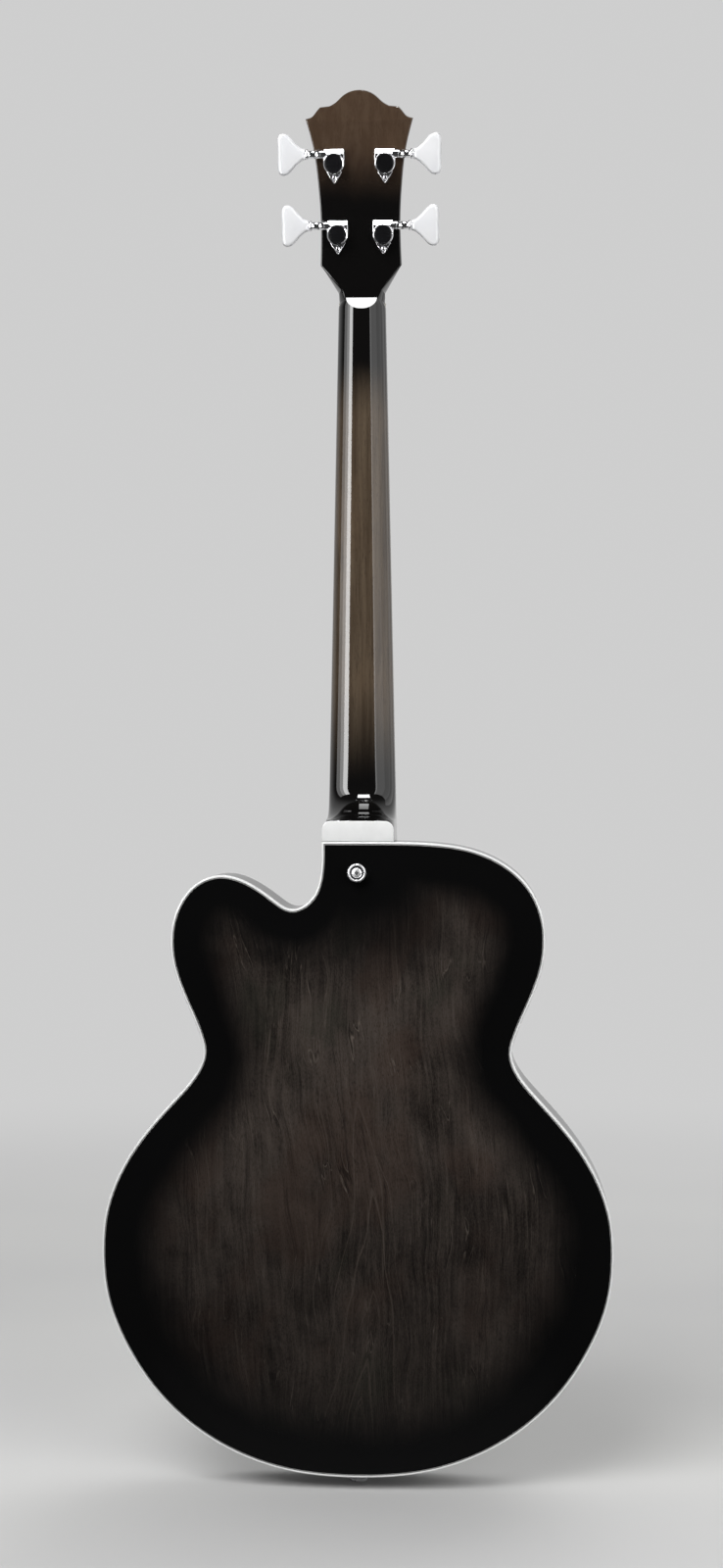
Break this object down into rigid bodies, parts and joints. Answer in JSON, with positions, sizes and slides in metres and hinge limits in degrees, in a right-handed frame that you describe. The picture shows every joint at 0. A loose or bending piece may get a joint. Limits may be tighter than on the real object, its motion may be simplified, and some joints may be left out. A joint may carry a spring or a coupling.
{
  "type": "bass guitar",
  "caption": "Hollow-body bass guitar with a single cutaway, arched plates, a long set neck, a crown-shaped headstock with geared tuners, and floating bridge with trapeze tailpiece.",
  "frame": {"origin": "centre of the end strap button's flat outer face, at the instrument's bottom end", "axes": "+Z along the body and neck, from the end strap button towards the headstock; +Y out of the top, on the strings' side, so the pictured back faces -Y; +X towards the bass side, with the cutaway on the -X side"},
  "size_m": [0.405, 0.1212, 1.0966],
  "materials": {
    "back_lacquer": "gloss see-through black lacquer over dark brown figured wood, black at the edges",
    "top_lacquer": "gloss see-through black lacquer over dark brown figured wood, black at the edges",
    "side_lacquer": "gloss black lacquer",
    "white_binding": "white plies with thin black lines",
    "inner_wood": "raw spruce",
    "neck_wood": "gloss lacquer, dark brown in the middle and black at both ends",
    "fingerboard_wood": "oiled dark rosewood",
    "black_gloss": "gloss black",
    "plain_steel": "plain",
    "nut_bone": "polished bone white",
    "chrome_plate": "polished chrome",
    "white_key": "polished white plastic",
    "string_steel": "flat-wound steel"
  },
  "bodies": {
    "instrument": {"back_plate": "back_lacquer", "top_plate": "top_lacquer", "body_sides": "side_lacquer", "back_binding": "white_binding", "top_binding": "white_binding", "back_lining": "inner_wood", "top_lining": "inner_wood", "neck_block": "inner_wood", "tail_block": "inner_wood", "bass_tone_bar": "inner_wood", "treble_tone_bar": "inner_wood", "neck": "neck_wood", "fingerboard": "fingerboard_wood", "head_veneer": "black_gloss", "truss_rod_cover": "black_gloss", "nut": "nut_bone", "heel_cap": "white_binding", "neck_pickup_ring": "black_gloss", "bridge_pickup_ring": "black_gloss", "pot_1": "plain_steel", "pot_2": "plain_steel", "pot_3": "plain_steel", "pot_4": "plain_steel", "switch_body": "plain_steel", "output_jack": "chrome_plate", "end_strap_button": "chrome_plate", "heel_strap_button": "chrome_plate", "bridge_base": "fingerboard_wood", "tailpiece": "chrome_plate", "tuner_housing_e": "chrome_plate", "tuner_housing_a": "chrome_plate", "tuner_housing_d": "chrome_plate", "tuner_housing_g": "chrome_plate", "string_e": "string_steel", "string_a": "string_steel", "string_d": "string_steel", "string_g": "string_steel"},
    "rod": {"truss_rod": "plain_steel"},
    "saddle": {"bridge_saddle": "chrome_plate"},
    "bass_wheel": {"bass_thumbwheel": "chrome_plate"},
    "treble_wheel": {"treble_thumbwheel": "chrome_plate"},
    "front_pickup": {"neck_pickup": "chrome_plate"},
    "rear_pickup": {"bridge_pickup": "chrome_plate"},
    "control_1": {"knob_1": "black_gloss"},
    "control_2": {"knob_2": "black_gloss"},
    "control_3": {"knob_3": "black_gloss"},
    "control_4": {"knob_4": "black_gloss"},
    "selector": {"switch_lever": "white_key"},
    "key_e": {"tuner_shaft_e": "chrome_plate", "tuner_key_e": "white_key"},
    "key_a": {"tuner_shaft_a": "chrome_plate", "tuner_key_a": "white_key"},
    "key_d": {"tuner_shaft_d": "chrome_plate", "tuner_key_d": "white_key"},
    "key_g": {"tuner_shaft_g": "chrome_plate", "tuner_key_g": "white_key"},
    "post_e": {"tuner_post_e": "plain_steel"},
    "post_a": {"tuner_post_a": "plain_steel"},
    "post_d": {"tuner_post_d": "plain_steel"},
    "post_g": {"tuner_post_g": "plain_steel"}
  },
  "joints": [
    {"name": "rod_turn", "type": "hinge", "parent": "instrument", "child": "rod", "pos_m": [0, 0.01517, 0.93326], "axis": [0, -0.0523, 0.9986], "range_deg": [-90, 90]},
    {"name": "saddle_height", "type": "slide", "parent": "instrument", "child": "saddle", "axis": [0, 1, 0], "range_m": [-0.00217, 0]},
    {"name": "bass_wheel_turn", "type": "hinge", "parent": "saddle", "child": "bass_wheel", "pos_m": [0.037, 0.05995, 0.16497], "axis": [0, 1, 0], "range_deg": [-1120, 0]},
    {"name": "treble_wheel_turn", "type": "hinge", "parent": "saddle", "child": "treble_wheel", "pos_m": [-0.037, 0.05995, 0.16497], "axis": [0, 1, 0], "range_deg": [-1120, 0]},
    {"name": "front_pickup_height", "type": "slide", "parent": "instrument", "child": "front_pickup", "axis": [0, 1, 0], "range_m": [-0.004, 0.0015]},
    {"name": "rear_pickup_height", "type": "slide", "parent": "instrument", "child": "rear_pickup", "axis": [0, 1, 0], "range_m": [-0.004, 0.0015]},
    {"name": "knob_1_turn", "type": "hinge", "parent": "instrument", "child": "control_1", "pos_m": [-0.126, 0.04079, 0.1105], "axis": [-0.143, 0.9847, -0.0995], "range_deg": [-300, 0]},
    {"name": "knob_2_turn", "type": "hinge", "parent": "instrument", "child": "control_2", "pos_m": [-0.156, 0.03822, 0.1325], "axis": [-0.1576, 0.9848, -0.073], "range_deg": [-300, 0]},
    {"name": "knob_3_turn", "type": "hinge", "parent": "instrument", "child": "control_3", "pos_m": [-0.11, 0.03849, 0.0765], "axis": [-0.1131, 0.9836, -0.1404], "range_deg": [-300, 0]},
    {"name": "knob_4_turn", "type": "hinge", "parent": "instrument", "child": "control_4", "pos_m": [-0.139, 0.03598, 0.0845], "axis": [-0.1273, 0.985, -0.1168], "range_deg": [-300, 0]},
    {"name": "switch_tilt", "type": "hinge", "parent": "instrument", "child": "selector", "pos_m": [-0.09636, 0.03167, 0.41256], "axis": [0.9967, 0.0806, 0], "range_deg": [-12.5, 12.5]},
    {"name": "key_e_turn", "type": "hinge", "parent": "instrument", "child": "key_e", "pos_m": [0.018, -0.01198, 0.99385], "axis": [1, 0, 0], "continuous": true},
    {"name": "key_a_turn", "type": "hinge", "parent": "instrument", "child": "key_a", "pos_m": [0.02, -0.02806, 1.04644], "axis": [1, 0, 0], "continuous": true},
    {"name": "key_d_turn", "type": "hinge", "parent": "instrument", "child": "key_d", "pos_m": [-0.02, -0.02806, 1.04644], "axis": [-1, 0, 0], "continuous": true},
    {"name": "key_g_turn", "type": "hinge", "parent": "instrument", "child": "key_g", "pos_m": [-0.018, -0.01198, 0.99385], "axis": [-1, 0, 0], "continuous": true},
    {"name": "post_e_turn", "type": "hinge", "parent": "instrument", "child": "post_e", "pos_m": [0.018, -0.00996, 0.98725], "axis": [0, -0.9563, -0.2924], "continuous": true},
    {"name": "post_a_turn", "type": "hinge", "parent": "instrument", "child": "post_a", "pos_m": [0.02, -0.02605, 1.03985], "axis": [0, -0.9563, -0.2924], "continuous": true},
    {"name": "post_d_turn", "type": "hinge", "parent": "instrument", "child": "post_d", "pos_m": [-0.02, -0.02605, 1.03985], "axis": [0, 0.9563, 0.2924], "continuous": true},
    {"name": "post_g_turn", "type": "hinge", "parent": "instrument", "child": "post_g", "pos_m": [-0.018, -0.00996, 0.98725], "axis": [0, 0.9563, 0.2924], "continuous": true}
  ],
  "couplings": [
    {"joint": "bass_wheel_turn", "follows": "saddle_height", "rad_per_m": 8976},
    {"joint": "treble_wheel_turn", "follows": "saddle_height", "rad_per_m": 8976},
    {"joint": "post_e_turn", "follows": "key_e_turn", "ratio": 0.0625},
    {"joint": "post_a_turn", "follows": "key_a_turn", "ratio": 0.0625},
    {"joint": "post_d_turn", "follows": "key_d_turn", "ratio": 0.0625},
    {"joint": "post_g_turn", "follows": "key_g_turn", "ratio": 0.0625}
  ]
}
